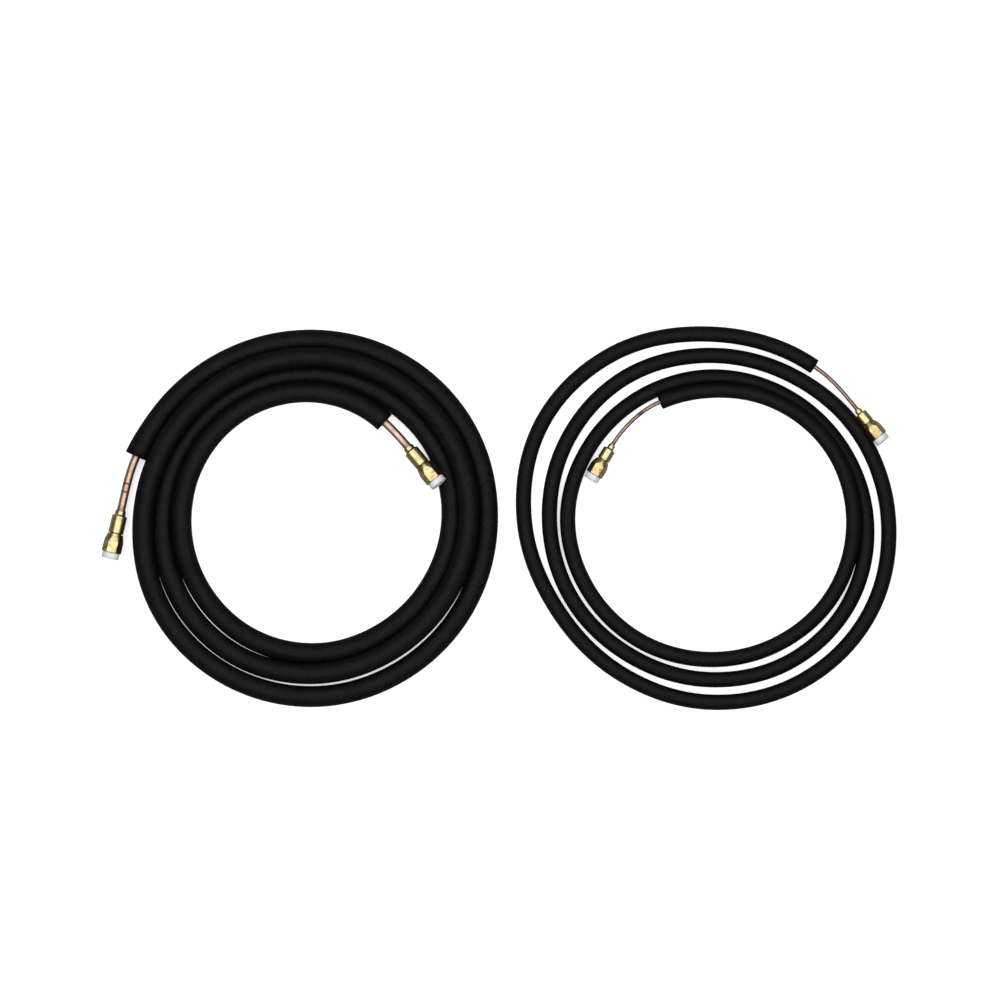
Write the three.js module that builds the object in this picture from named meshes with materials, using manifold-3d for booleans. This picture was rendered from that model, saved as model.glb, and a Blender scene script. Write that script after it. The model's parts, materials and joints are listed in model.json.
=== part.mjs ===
// A line set for a split air conditioner: two coils of soft copper tube in black foam sleeves.
// The wide coil is the suction line and the slim one is the liquid line. Each end of each
// tube carries a brass coupling with a swivel nut, and a plastic cap closes the nut.
// Lengths are in millimetres, angles in degrees, and +Z is up. The coils lie on z = 0.

import * as THREE from "three";
import { mergeVertices } from "three/addons/utils/BufferGeometryUtils.js";
import Module from "manifold-3d";

const wasm = await Module();
wasm.setup();

// Gaps between neighbouring pieces
const CLEARANCE = 0.3;
const TURN_GAP = 0.5;
const GROOVE_WIDTH = 0.8;

// Suction line: tube and sleeve
const SUCTION_TUBE_OD = 12.7;
const SUCTION_TUBE_WALL = 0.8;
const SUCTION_SLEEVE_OD = 32.6;
const SUCTION_END_FLARE = 1.8;

// Liquid line: tube and sleeve
const LIQUID_TUBE_OD = 6.35;
const LIQUID_TUBE_WALL = 0.8;
const LIQUID_SLEEVE_OD = 24.4;
const LIQUID_END_FLARE = 0;

// Where the coils lie, and the radius of each one's innermost end
const SUCTION_CENTRE_X = -281.5;
const LIQUID_CENTRE_X = 319.8;
const SUCTION_EYE_RADIUS = 181.5;
const LIQUID_EYE_RADIUS = 196.3;

// Couplings of the suction line
const SUCTION_COLLAR_OD = 16.4;
const SUCTION_COLLAR_LENGTH = 7.5;
const SUCTION_BODY_OD = 23.3;
const SUCTION_BODY_LENGTH = 28;
const SUCTION_NECK_OD = 17.2;
const SUCTION_NUT_FLATS = 27;
const SUCTION_NUT_LENGTH = 29.3;
const SUCTION_NUT_CONE_LENGTH = 14;
const SUCTION_CAP_OD = 27.2;
const SUCTION_CAP_HEIGHT = 9;

// Couplings of the liquid line
const LIQUID_COLLAR_OD = 10.4;
const LIQUID_COLLAR_LENGTH = 7.6;
const LIQUID_BODY_OD = 19.4;
const LIQUID_BODY_LENGTH = 19.2;
const LIQUID_NECK_OD = 14;
const LIQUID_NUT_FLATS = 24.4;
const LIQUID_NUT_LENGTH = 26;
const LIQUID_NUT_CONE_LENGTH = 11;
const LIQUID_CAP_OD = 24;
const LIQUID_CAP_HEIGHT = 8.8;

// Shared sizes of all couplings
const SOCKET_DEPTH = 6;
const FLANGE_STEP = 1.4;
const FLANGE_THICKNESS = 3;
const NOSE_LENGTH = 5;
const NUT_LIP_THICKNESS = 4;
const CHAMFER = 1.2;
const CAP_PLUG_LENGTH = 9;
const CAP_EDGE = 0.8;
const FLOOR_CLEARANCE = 1.2;

// How finely the round forms are divided
const STATION_STEP = 15;
const SLEEVE_SIDES = 10;
const TUBE_SIDES = 8;
const BORE_SIDES = 6;
const STUB_STEPS = 6;
const LATHE_SEGMENTS = 18;

// Each sleeve's solid comes in this many arcs, one after the other along the coil
const SUCTION_SLEEVE_ARCS = 6;
const LIQUID_SLEEVE_ARCS = 4;

// A coil follows an even spiral of touching turns. Its slack says how far the tube lies outside
// (+) or inside (-) that spiral, at every 30 degrees from firstAngle on. A raised stretch rides
// in the groove above its neighbours.
const SLACK_STEP = 30;

const SUCTION_COIL = {
  centreX: SUCTION_CENTRE_X,
  eyeRadius: SUCTION_EYE_RADIUS,
  turnDirection: -1,
  firstAngle: 180,
  outerCut: 160.8,
  innerCut: -1025.5,
  slack: [
    6.9, -0.6, -6.0, -8.8, -9.3, -10.1, -11.9, -8.0, -2.4, 5.5, 11.3, 13.4,
    6.0, 1.3, -0.9, -2.7, -4.4, -5.2, -7.4, -8.6, -5.3, 2.6, 10.6, 12.8,
    9.4, 7.7, 5.8, 2.9, 0.2, 0.5, -1.4, -3.4, -1.4, 4.9, 10.0, 12.2,
    13.2, 14.3, 13.2, 9.0, 1.9, -9.3,
  ],
  raised: [
    { from: -150, to: -480 },
    { from: -870, to: -1025.5, heldFrom: -990 },
  ],
};

const LIQUID_COIL = {
  centreX: LIQUID_CENTRE_X,
  eyeRadius: LIQUID_EYE_RADIUS,
  turnDirection: 1,
  firstAngle: 30,
  outerCut: 55.2,
  innerCut: 1192.6,
  slack: [
    10.2, 10.4, 12.1, 23.4, 27.6, 17.9, 7.8, 11.5, 21.6, 29.5, 30.6, 22.1,
    14.1, 5.2, 3.8, 7.1, 5.7, 3.7, 4.3, 5.0, 11.6, 18.8, 19.9, 12.7,
    3.5, -2.7, -4.9, -6.6, -4.4, 0.2, 0.4, 2.2, 5.1, 10.6, 16.9, 17.2,
    14.4, 6.6, -1.2, -2.3,
  ],
  raised: [{ from: 1050, to: 1192.6, heldFrom: 1192.6 }],
};

// Where each end's collar starts: how many degrees of the coil past the sleeve's cut, how far
// inside the turn beside it (negative is outside), and how high. The turn is the collar's heading
// from the coil's tangent, positive when it points outward, and the climb is how steeply it rises.
const SUCTION_ENDS = [
  {
    name: "outer",
    spread: 16.831,
    inside: -36.73,
    collarHeight: acrossCorners(SUCTION_NUT_FLATS) / 2 + FLOOR_CLEARANCE,
    turn: 10.63,
    climb: 2,
  },
  {
    name: "inner",
    spread: 16.535,
    inside: 32.51,
    collarHeight: SUCTION_SLEEVE_OD + 4.4,
    turn: 2.03,
    climb: 7,
  },
];

const LIQUID_ENDS = [
  {
    name: "outer",
    spread: 18.812,
    inside: -21.67,
    collarHeight: LIQUID_SLEEVE_OD + 1.2,
    turn: 2.61,
    climb: 6,
  },
  {
    name: "inner",
    spread: 30.003,
    inside: 25.58,
    collarHeight: LIQUID_SLEEVE_OD - 4,
    turn: -5.4,
    climb: 2,
  },
];

const SUCTION_LINE = {
  name: "suction",
  tubeRadius: SUCTION_TUBE_OD / 2,
  tubeWall: SUCTION_TUBE_WALL,
  sleeveRadius: SUCTION_SLEEVE_OD / 2,
  sleeveArcs: SUCTION_SLEEVE_ARCS,
  endFlare: SUCTION_END_FLARE,
  coil: SUCTION_COIL,
  ends: SUCTION_ENDS,
  fitting: {
    collarRadius: SUCTION_COLLAR_OD / 2,
    collarLength: SUCTION_COLLAR_LENGTH,
    bodyRadius: SUCTION_BODY_OD / 2,
    bodyLength: SUCTION_BODY_LENGTH,
    neckRadius: SUCTION_NECK_OD / 2,
    nutFlats: SUCTION_NUT_FLATS,
    nutLength: SUCTION_NUT_LENGTH,
    coneLength: SUCTION_NUT_CONE_LENGTH,
    capRadius: SUCTION_CAP_OD / 2,
    capHeight: SUCTION_CAP_HEIGHT,
  },
};

const LIQUID_LINE = {
  name: "liquid",
  tubeRadius: LIQUID_TUBE_OD / 2,
  tubeWall: LIQUID_TUBE_WALL,
  sleeveRadius: LIQUID_SLEEVE_OD / 2,
  sleeveArcs: LIQUID_SLEEVE_ARCS,
  endFlare: LIQUID_END_FLARE,
  coil: LIQUID_COIL,
  ends: LIQUID_ENDS,
  fitting: {
    collarRadius: LIQUID_COLLAR_OD / 2,
    collarLength: LIQUID_COLLAR_LENGTH,
    bodyRadius: LIQUID_BODY_OD / 2,
    bodyLength: LIQUID_BODY_LENGTH,
    neckRadius: LIQUID_NECK_OD / 2,
    nutFlats: LIQUID_NUT_FLATS,
    nutLength: LIQUID_NUT_LENGTH,
    coneLength: LIQUID_NUT_CONE_LENGTH,
    capRadius: LIQUID_CAP_OD / 2,
    capHeight: LIQUID_CAP_HEIGHT,
  },
};

const UP = new THREE.Vector3(0, 0, 1);

function radians(degrees) {
  return THREE.MathUtils.degToRad(degrees);
}

function acrossCorners(acrossFlats) {
  return acrossFlats / Math.cos(Math.PI / 6);
}

// Materials

function material(color, roughness, metalness) {
  return new THREE.MeshStandardMaterial({ color, roughness, metalness });
}

const foam = () => material(0x17181a, 0.85, 0);
const copper = () => material(0xc98f72, 0.3, 1);
const brass = () => material(0xd2b565, 0.22, 1);
const plastic = () => material(0xf2f2f0, 0.45, 0);

// The coils' routes

// Radius of a coil's centre line: the even spiral plus the slack at that angle
function coilRadius(line, angle) {
  const { coil, sleeveRadius } = line;
  const knots = coil.slack.map((value, index) => new THREE.Vector2(index, value));
  const place = (angle - coil.firstAngle) * coil.turnDirection / SLACK_STEP / (knots.length - 1);
  const slack = new THREE.SplineCurve(knots).getPoint(THREE.MathUtils.clamp(place, 0, 1)).y;
  const turnsToEye = (coil.innerCut - angle) * coil.turnDirection / 360;
  return coil.eyeRadius + 2 * sleeveRadius * turnsToEye + slack;
}

// Radius of a turn as it is built, with straight steps from one station to the next
function builtRadius(line, angle) {
  const past = angle - STATION_STEP * Math.floor(angle / STATION_STEP);
  const before = coilRadius(line, angle - past);
  const after = coilRadius(line, angle - past + STATION_STEP);
  const spread = before * Math.sin(radians(past)) + after * Math.sin(radians(STATION_STEP - past));
  return before * after * Math.sin(radians(STATION_STEP)) / spread;
}

function isOnCoil(coil, angle) {
  const low = Math.min(coil.outerCut, coil.innerCut);
  const high = Math.max(coil.outerCut, coil.innerCut);
  return angle >= low && angle <= high;
}

// Height of a coil's centre line above that of a turn on the floor: in a raised stretch, what
// keeps it one sleeve diameter away from the turns beside it
function coilLift(line, angle) {
  const { coil, sleeveRadius } = line;
  const travelled = angle * coil.turnDirection;
  const stretch = coil.raised.find(({ from, to }) =>
    travelled >= from * coil.turnDirection && travelled <= to * coil.turnDirection);
  if (!stretch) return 0;
  const held = stretch.heldFrom ?? stretch.to;
  const measured = travelled > held * coil.turnDirection ? held : angle;
  const pitches = [measured - 360, measured + 360]
    .filter((neighbour) => isOnCoil(coil, neighbour))
    .map((neighbour) => Math.abs(builtRadius(line, neighbour) - coilRadius(line, measured)));
  const spacing = 2 * sleeveRadius + TURN_GAP;
  return Math.sqrt(Math.max(0, spacing ** 2 - Math.min(...pitches) ** 2));
}

// Height of a sleeve's centre above the flat that it lies on
function restHeight(sleeveRadius) {
  return sleeveRadius * Math.cos(Math.PI / SLEEVE_SIDES);
}

// One station of a coil: its centre, its section's side and up directions, and its flare
function coilStation(line, angle) {
  const { coil } = line;
  const radial = new THREE.Vector3(Math.cos(radians(angle)), Math.sin(radians(angle)), 0);
  const nextStation = STATION_STEP * Math.ceil(coil.outerCut / STATION_STEP - 1);
  const fade = (angle - nextStation) / (coil.outerCut - nextStation);
  const flare = coil.turnDirection < 0 ? line.endFlare * Math.max(0, fade) : 0;
  const point = radial.clone().multiplyScalar(coilRadius(line, angle));
  point.x += coil.centreX;
  point.z = restHeight(line.sleeveRadius + flare) + coilLift(line, angle);
  return { point, side: radial.multiplyScalar(coil.turnDirection), up: UP.clone(), flare };
}

// Stations from the outer cut to the inner cut, at whole steps of angle so that the flats of
// neighbouring turns stay parallel
function coilStations(line) {
  const { outerCut, innerCut, turnDirection } = line.coil;
  const angles = [outerCut];
  const shortest = STATION_STEP / 4;
  let angle = STATION_STEP * Math.round(outerCut / STATION_STEP);
  while ((innerCut - angle) * turnDirection > shortest) {
    if ((angle - outerCut) * turnDirection > shortest) angles.push(angle);
    angle += STATION_STEP * turnDirection;
  }
  angles.push(innerCut);
  return angles.map((value) => coilStation(line, value));
}

// A section that stands square to a direction
function squareStation(point, direction) {
  const side = direction.clone().cross(UP).normalize();
  const up = side.clone().cross(direction).normalize();
  return { point: point.clone(), side, up, flare: 0 };
}

// Where a fitting's collar starts, and which way the fitting points
function collarPlace(line, end) {
  const { coil } = line;
  const goesOn = end.name === "inner" ? coil.turnDirection : -coil.turnDirection;
  const cutAngle = end.name === "inner" ? coil.innerCut : coil.outerCut;
  const angle = cutAngle + goesOn * end.spread;
  const radius = builtRadius(line, angle - goesOn * 360) - end.inside;
  const radial = new THREE.Vector3(Math.cos(radians(angle)), Math.sin(radians(angle)), 0);
  const tangent = UP.clone().cross(radial).multiplyScalar(goesOn);
  const start = radial.clone().multiplyScalar(radius);
  start.x += coil.centreX;
  start.z = end.collarHeight;
  const direction = new THREE.Vector3()
    .addScaledVector(tangent, Math.cos(radians(end.turn)))
    .addScaledVector(radial, Math.sin(radians(end.turn)))
    .multiplyScalar(Math.cos(radians(end.climb)))
    .addScaledVector(UP, Math.sin(radians(end.climb)));
  return { start, direction };
}

// The bare copper from the sleeve's cut to the bottom of the collar's socket
function stubStations(line, end, cut, beforeCut) {
  const { start, direction } = collarPlace(line, end);
  const leaving = cut.point.clone().sub(beforeCut.point).normalize();
  const handle = cut.point.distanceTo(start) / 3;
  const curve = new THREE.CubicBezierCurve3(
    cut.point,
    cut.point.clone().addScaledVector(leaving, handle),
    start.clone().addScaledVector(direction, -handle),
    start,
  );
  const stations = [];
  for (let step = 1; step <= STUB_STEPS; step += 1) {
    const t = step / STUB_STEPS;
    stations.push(squareStation(curve.getPoint(t), curve.getTangent(t)));
  }
  const bottom = start.clone().addScaledVector(direction, SOCKET_DEPTH - CLEARANCE);
  stations.push(squareStation(bottom, direction));
  return stations;
}

// Swept pipes

function polygon(sides, radius) {
  return Array.from({ length: sides }, (_, index) => {
    const turn = 2 * Math.PI * index / sides;
    return new THREE.Vector2(radius * Math.cos(turn), radius * Math.sin(turn));
  });
}

function placeInSection(station, { x, y }) {
  return station.point.clone().addScaledVector(station.side, x).addScaledVector(station.up, y);
}

function signedArea(a, b, c) {
  return (b.x - a.x) * (c.y - a.y) - (c.x - a.x) * (b.y - a.y);
}

// A closed pipe: an outer and a bore polygon carried along the stations, and a ring at each end
function pipeGeometry(stations, outerSection, boreSection) {
  const outerCount = outerSection(stations[0]).length;
  const boreCount = boreSection(stations[0]).length;
  const ringSize = outerCount + boreCount;
  const points = stations.flatMap((station) =>
    [...outerSection(station), ...boreSection(station)].map((p) => placeInSection(station, p)));
  const triangles = [];
  const addWall = (ring, start, count, outward) => {
    for (let k = 0; k < count; k += 1) {
      const a = ring * ringSize + start + k;
      const b = ring * ringSize + start + (k + 1) % count;
      const c = a + ringSize;
      const d = b + ringSize;
      triangles.push(...(outward ? [a, c, b, b, c, d] : [a, b, c, b, d, c]));
    }
  };
  for (let ring = 0; ring + 1 < stations.length; ring += 1) {
    addWall(ring, 0, outerCount, true);
    addWall(ring, outerCount, boreCount, false);
  }
  const addEnd = (ring, facesBack) => {
    const contour = outerSection(stations[ring]);
    const hole = boreSection(stations[ring]);
    const corners = [...contour, ...hole];
    for (const [a, b, c] of THREE.ShapeUtils.triangulateShape(contour, [hole])) {
      const isForward = signedArea(corners[a], corners[b], corners[c]) > 0;
      const order = isForward === facesBack ? [a, b, c] : [a, c, b];
      triangles.push(...order.map((corner) => ring * ringSize + corner));
    }
  };
  addEnd(0, true);
  addEnd(stations.length - 1, false);
  const geometry = new THREE.BufferGeometry();
  const positions = new Float32Array(points.flatMap((p) => p.toArray()));
  geometry.setAttribute("position", new THREE.BufferAttribute(positions, 3));
  geometry.setIndex(triangles);
  geometry.computeVertexNormals();
  return geometry;
}

// The stations of each arc of the sleeve, with a hairline gap between one arc and the next
function sleeveArcs(line, stations) {
  const stepsPerArc = Math.ceil((stations.length - 1) / line.sleeveArcs);
  return Array.from({ length: line.sleeveArcs }, (_, index) => {
    const first = index * stepsPerArc;
    const arc = stations.slice(first, first + stepsPerArc + 1);
    if (index === 0) return arc;
    const [start, next] = arc;
    const share = CLEARANCE / start.point.distanceTo(next.point);
    const point = start.point.clone().lerp(next.point, share);
    return [{ ...start, point }, ...arc.slice(1)];
  });
}

function sleeveGeometry(line, stations) {
  return pipeGeometry(
    stations,
    (station) => polygon(SLEEVE_SIDES, line.sleeveRadius + station.flare),
    () => polygon(TUBE_SIDES, line.tubeRadius + CLEARANCE),
  );
}

function tubeGeometry(line, stations) {
  return pipeGeometry(
    stations,
    () => polygon(TUBE_SIDES, line.tubeRadius),
    () => polygon(BORE_SIDES, line.tubeRadius - line.tubeWall),
  );
}

// Turned brass and plastic pieces, with their axis along +Y

function turned(profile) {
  const points = profile.map(([radius, along]) => new THREE.Vector2(radius, along));
  return new THREE.LatheGeometry(points, LATHE_SEGMENTS);
}

function toSolid(geometry) {
  const bare = geometry.clone();
  bare.deleteAttribute("normal");
  bare.deleteAttribute("uv");
  const merged = mergeVertices(bare);
  return new wasm.Manifold(new wasm.Mesh({
    numProp: 3,
    vertProperties: new Float32Array(merged.attributes.position.array),
    triVerts: new Uint32Array(merged.index.array),
  }));
}

function toGeometry(solid) {
  const mesh = solid.getMesh();
  const geometry = new THREE.BufferGeometry();
  geometry.setAttribute("position", new THREE.BufferAttribute(mesh.vertProperties, 3));
  geometry.setIndex(new THREE.BufferAttribute(mesh.triVerts, 1));
  geometry.computeVertexNormals();
  return geometry;
}

// Places along a fitting's axis, measured from the start of its collar
function fittingPlaces(fitting) {
  const bodyStart = fitting.collarLength;
  const bodyEnd = bodyStart + fitting.bodyLength;
  const nutStart = bodyEnd + GROOVE_WIDTH;
  const flangeStart = nutStart + NUT_LIP_THICKNESS + CLEARANCE;
  const flangeEnd = flangeStart + FLANGE_THICKNESS;
  const noseEnd = flangeEnd + NOSE_LENGTH;
  const nutEnd = nutStart + fitting.nutLength;
  return { bodyStart, bodyEnd, nutStart, flangeStart, flangeEnd, noseEnd, nutEnd };
}

// A collar with a socket for the tube, a barrel, and a neck whose flange holds the nut
function couplingGeometry(line) {
  const { fitting } = line;
  const at = fittingPlaces(fitting);
  const socketRadius = (line.tubeRadius + CLEARANCE) / Math.cos(Math.PI / LATHE_SEGMENTS);
  const boreRadius = line.tubeRadius - line.tubeWall;
  const flangeRadius = fitting.neckRadius + FLANGE_STEP;
  return turned([
    [socketRadius, 0],
    [fitting.collarRadius, 0],
    [fitting.collarRadius, at.bodyStart],
    [fitting.bodyRadius - CHAMFER, at.bodyStart],
    [fitting.bodyRadius, at.bodyStart + CHAMFER],
    [fitting.bodyRadius, at.bodyEnd - CHAMFER],
    [fitting.bodyRadius - CHAMFER, at.bodyEnd],
    [fitting.neckRadius, at.bodyEnd],
    [fitting.neckRadius, at.flangeStart],
    [flangeRadius, at.flangeStart],
    [flangeRadius, at.flangeEnd],
    [fitting.neckRadius - FLANGE_STEP, at.noseEnd],
    [boreRadius, at.noseEnd],
    [boreRadius, SOCKET_DEPTH],
    [socketRadius, SOCKET_DEPTH],
    [socketRadius, 0],
  ]);
}

function nutBoreRadius(fitting) {
  return fitting.neckRadius + FLANGE_STEP + CLEARANCE;
}

// A hexagon with a long cone at its back, bored out and with a lip behind the flange
function nutGeometry(line) {
  const { fitting } = line;
  const at = fittingPlaces(fitting);
  const cornerRadius = acrossCorners(fitting.nutFlats) / 2;
  const backRadius = fitting.bodyRadius + CLEARANCE;
  const hexagon = new THREE.CylinderGeometry(
    cornerRadius, cornerRadius, fitting.nutLength, 6, 1, false, Math.PI / 6);
  hexagon.translate(0, (at.nutStart + at.nutEnd) / 2, 0);
  const outside = turned([
    [0, at.nutStart],
    [backRadius, at.nutStart],
    [cornerRadius, at.nutStart + fitting.coneLength],
    [cornerRadius, at.nutEnd - CHAMFER],
    [fitting.nutFlats / 2 - CHAMFER / 2, at.nutEnd],
    [0, at.nutEnd],
  ]);
  const lipEnd = at.nutStart + NUT_LIP_THICKNESS;
  const boreRadius = nutBoreRadius(fitting);
  const inside = turned([
    [0, at.nutStart - 1],
    [fitting.neckRadius + CLEARANCE, at.nutStart - 1],
    [fitting.neckRadius + CLEARANCE, lipEnd],
    [boreRadius, lipEnd],
    [boreRadius, at.nutEnd + 1],
    [0, at.nutEnd + 1],
  ]);
  return toGeometry(toSolid(hexagon).intersect(toSolid(outside)).subtract(toSolid(inside)));
}

// A plug that fills the nut's mouth, under a flat head
function capGeometry(line) {
  const { fitting } = line;
  const at = fittingPlaces(fitting);
  const headStart = at.nutEnd + CLEARANCE;
  const headEnd = headStart + fitting.capHeight;
  const plugRadius = (nutBoreRadius(fitting) - CLEARANCE) * Math.cos(Math.PI / LATHE_SEGMENTS);
  return turned([
    [0, headStart - CAP_PLUG_LENGTH],
    [plugRadius - CAP_EDGE, headStart - CAP_PLUG_LENGTH],
    [plugRadius, headStart - CAP_PLUG_LENGTH + CAP_EDGE],
    [plugRadius, headStart],
    [fitting.capRadius, headStart],
    [fitting.capRadius, headEnd - CAP_EDGE],
    [fitting.capRadius - CAP_EDGE, headEnd],
    [0, headEnd],
  ]);
}

// The assembly

function namedMesh(name, geometry, meshMaterial) {
  const mesh = new THREE.Mesh(geometry, meshMaterial);
  mesh.name = name;
  return mesh;
}

// The coupling, nut and cap at one end of a line, turned so that a flat of the nut faces up
function fittingGroup(line, end) {
  const { start, direction } = collarPlace(line, end);
  const { side, up } = squareStation(start, direction);
  const prefix = `${line.name}_${end.name}`;
  const group = new THREE.Group();
  group.add(namedMesh(`${prefix}_coupling`, couplingGeometry(line), brass()));
  group.add(namedMesh(`${prefix}_nut`, nutGeometry(line), brass()));
  group.add(namedMesh(`${prefix}_cap`, capGeometry(line), plastic()));
  group.quaternion.setFromRotationMatrix(new THREE.Matrix4().makeBasis(side, direction, up));
  group.position.copy(start);
  return group;
}

function lineGroup(line) {
  const coil = coilStations(line);
  const last = coil.length - 1;
  const [outerEnd, innerEnd] = line.ends;
  const outerStub = stubStations(line, outerEnd, coil[0], coil[1]).reverse();
  const innerStub = stubStations(line, innerEnd, coil[last], coil[last - 1]);
  const turnBack = ({ point, side, up, flare }) => ({ point, side: side.negate(), up, flare });
  const tubeStations = [...outerStub.map(turnBack), ...coil, ...innerStub];
  const group = new THREE.Group();
  sleeveArcs(line, coil).forEach((arc, index) => {
    group.add(namedMesh(`${line.name}_sleeve_${index + 1}`, sleeveGeometry(line, arc), foam()));
  });
  group.add(namedMesh(`${line.name}_tube`, tubeGeometry(line, tubeStations), copper()));
  group.add(fittingGroup(line, outerEnd));
  group.add(fittingGroup(line, innerEnd));
  return group;
}

// Both lines side by side, with the origin under the middle of the pair
const lineSet = new THREE.Group();
lineSet.add(lineGroup(SUCTION_LINE), lineGroup(LIQUID_LINE));
lineSet.updateMatrixWorld(true);
const extent = new THREE.Box3().setFromObject(lineSet, true);
const middle = extent.getCenter(new THREE.Vector3());
lineSet.position.set(-middle.x, -middle.y, -extent.min.z);

export default lineSet;
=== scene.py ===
"""A line set for a split air conditioner, dressed with its visible surfaces and finishes.

Two coils of soft copper tube in black foam sleeves lie on a pale floor. Each end of each tube has
a brass coupling with a swivel nut, and a white plastic cap closes the nut. Lengths are in metres
and +Z is up.
"""

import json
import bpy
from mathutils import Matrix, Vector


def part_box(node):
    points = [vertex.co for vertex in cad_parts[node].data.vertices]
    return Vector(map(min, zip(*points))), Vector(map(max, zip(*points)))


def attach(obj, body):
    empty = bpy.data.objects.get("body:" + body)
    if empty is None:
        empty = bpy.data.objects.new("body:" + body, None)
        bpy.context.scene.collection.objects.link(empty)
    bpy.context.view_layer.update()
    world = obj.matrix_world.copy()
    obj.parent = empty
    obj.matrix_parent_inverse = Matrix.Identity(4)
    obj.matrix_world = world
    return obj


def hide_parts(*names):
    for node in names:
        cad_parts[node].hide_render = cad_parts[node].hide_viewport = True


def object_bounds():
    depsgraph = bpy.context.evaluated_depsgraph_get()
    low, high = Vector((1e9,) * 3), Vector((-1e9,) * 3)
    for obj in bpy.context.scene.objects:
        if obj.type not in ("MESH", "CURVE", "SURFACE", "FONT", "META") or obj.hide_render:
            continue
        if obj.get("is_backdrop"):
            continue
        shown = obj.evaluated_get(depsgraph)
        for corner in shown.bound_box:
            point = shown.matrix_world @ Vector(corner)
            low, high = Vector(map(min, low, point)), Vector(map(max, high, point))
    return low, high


bl_info = {
    "name": "Line Set",
    "version": (1, 0, 0),
    "blender": (4, 5, 0),
    "location": "View3D > Sidebar > Line Set",
    "description": "Foam sleeves, copper tubes, brass couplings and caps of a coiled line set",
    "category": "Add Mesh",
}

import bpy
import numpy as np
from bpy.props import FloatProperty, FloatVectorProperty, PointerProperty
from bpy.types import Operator, Panel, PropertyGroup

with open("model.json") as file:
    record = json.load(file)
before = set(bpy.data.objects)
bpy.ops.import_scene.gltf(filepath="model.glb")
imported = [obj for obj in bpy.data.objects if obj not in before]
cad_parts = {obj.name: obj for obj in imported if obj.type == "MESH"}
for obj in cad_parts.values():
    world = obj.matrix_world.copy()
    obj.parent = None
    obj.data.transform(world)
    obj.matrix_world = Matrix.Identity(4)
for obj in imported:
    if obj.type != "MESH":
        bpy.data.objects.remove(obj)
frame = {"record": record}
CAD_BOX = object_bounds()
MOUNTS = {mount["name"]: mount for mount in frame["record"]["mounts"]}

LINES = ("suction", "liquid")
ENDS = ("outer", "inner")

# A coil follows an even spiral of touching turns. Its slack, in millimetres, says how far the
# tube lies outside (+) or inside (-) that spiral, at every 30 degrees from first_angle on. A
# raised stretch (from, to, held from) rides in the groove above its neighbours.
SLACK_STEP = 30
COILS = {
    "suction": {
        "centre": (-0.279960, -0.001350),
        "eye_radius": 0.1815,
        "direction": -1,
        "first_angle": 180,
        "outer_cut": 160.8,
        "inner_cut": -1025.5,
        "slack": [
            6.9, -0.6, -6.0, -8.8, -9.3, -10.1, -11.9, -8.0, -2.4, 5.5, 11.3, 13.4,
            6.0, 1.3, -0.9, -2.7, -4.4, -5.2, -7.4, -8.6, -5.3, 2.6, 10.6, 12.8,
            9.4, 7.7, 5.8, 2.9, 0.2, 0.5, -1.4, -3.4, -1.4, 4.9, 10.0, 12.2,
            13.2, 14.3, 13.2, 9.0, 1.9, -9.3,
        ],
        "raised": [(-150, -480, -480), (-870, -1025.5, -990)],
    },
    "liquid": {
        "centre": (0.321341, -0.001350),
        "eye_radius": 0.1963,
        "direction": 1,
        "first_angle": 30,
        "outer_cut": 55.2,
        "inner_cut": 1192.6,
        "slack": [
            10.2, 10.4, 12.1, 23.4, 27.6, 17.9, 7.8, 11.5, 21.6, 29.5, 30.6, 22.1,
            14.1, 5.2, 3.8, 7.1, 5.7, 3.7, 4.3, 5.0, 11.6, 18.8, 19.9, 12.7,
            3.5, -2.7, -4.9, -6.6, -4.4, 0.2, 0.4, 2.2, 5.1, 10.6, 16.9, 17.2,
            14.4, 6.6, -1.2, -2.3,
        ],
        "raised": [(1050, 1192.6, 1192.6)],
    },
}
CAD_STATION_STEP = 15
CAD_SLEEVE_SIDES = 10
TURN_GAP = 0.0005
CLEARANCE = 0.0003

# How finely the surfaces are divided: degrees along a coil, steps along a bare tube, and sides
ROUTE_STEP = 2.5
STUB_STEPS = 59
SLEEVE_SIDES = 48
TUBE_SIDES = 32
TURNED_SIDES = 96
NUT_SIDES = 180

# The height over which a sleeve is pressed flat on the floor, and how far it may lie from the
# model's solids
SLEEVE_PRESS = 0.0009
SLEEVE_REACH = 0.003

# Waves of the foam's skin: length along the sleeve, share, phase, how many times the line's own
# phase is added, and turns round the sleeve. The depth is a share of the radius.
SKIN_WAVES = [(0.137, 1, 0, 1, 1), (0.083, 0.7, 0, 2.1, -2), (0.051, 0.5, 0.4, 0, 1)]
SKIN_PHASE = {"suction": 0.0, "liquid": 1.7}
SKIN_DEPTH = 0.004

# Marks on the copper as (distance from the collar, width), counted from the outer coupling (+) or
# the inner one (-), and the least and the most share of tarnish
COPPER_MARKS = {
    "suction": {
        "rings": [(0.030, 0.0018), (0.043, 0.0018)],
        "tints": [(0.0365, 0.014), (0.056, 0.018), (-0.030, 0.0045)],
        "tarnish": (0.02, 0.35),
    },
    "liquid": {"rings": [(-0.066, 0.006)], "tints": [], "tarnish": (0.6, 1.0)},
}


def length(name, description, millimetres):
    """A property for a length, with its default given in millimetres."""
    return FloatProperty(
        name=name, description=description, default=millimetres / 1000, min=0, unit="LENGTH"
    )


def colour(name, description, default):
    """A property for a colour."""
    return FloatVectorProperty(
        name=name, description=description, default=default, min=0, max=1, subtype="COLOR"
    )


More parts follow.
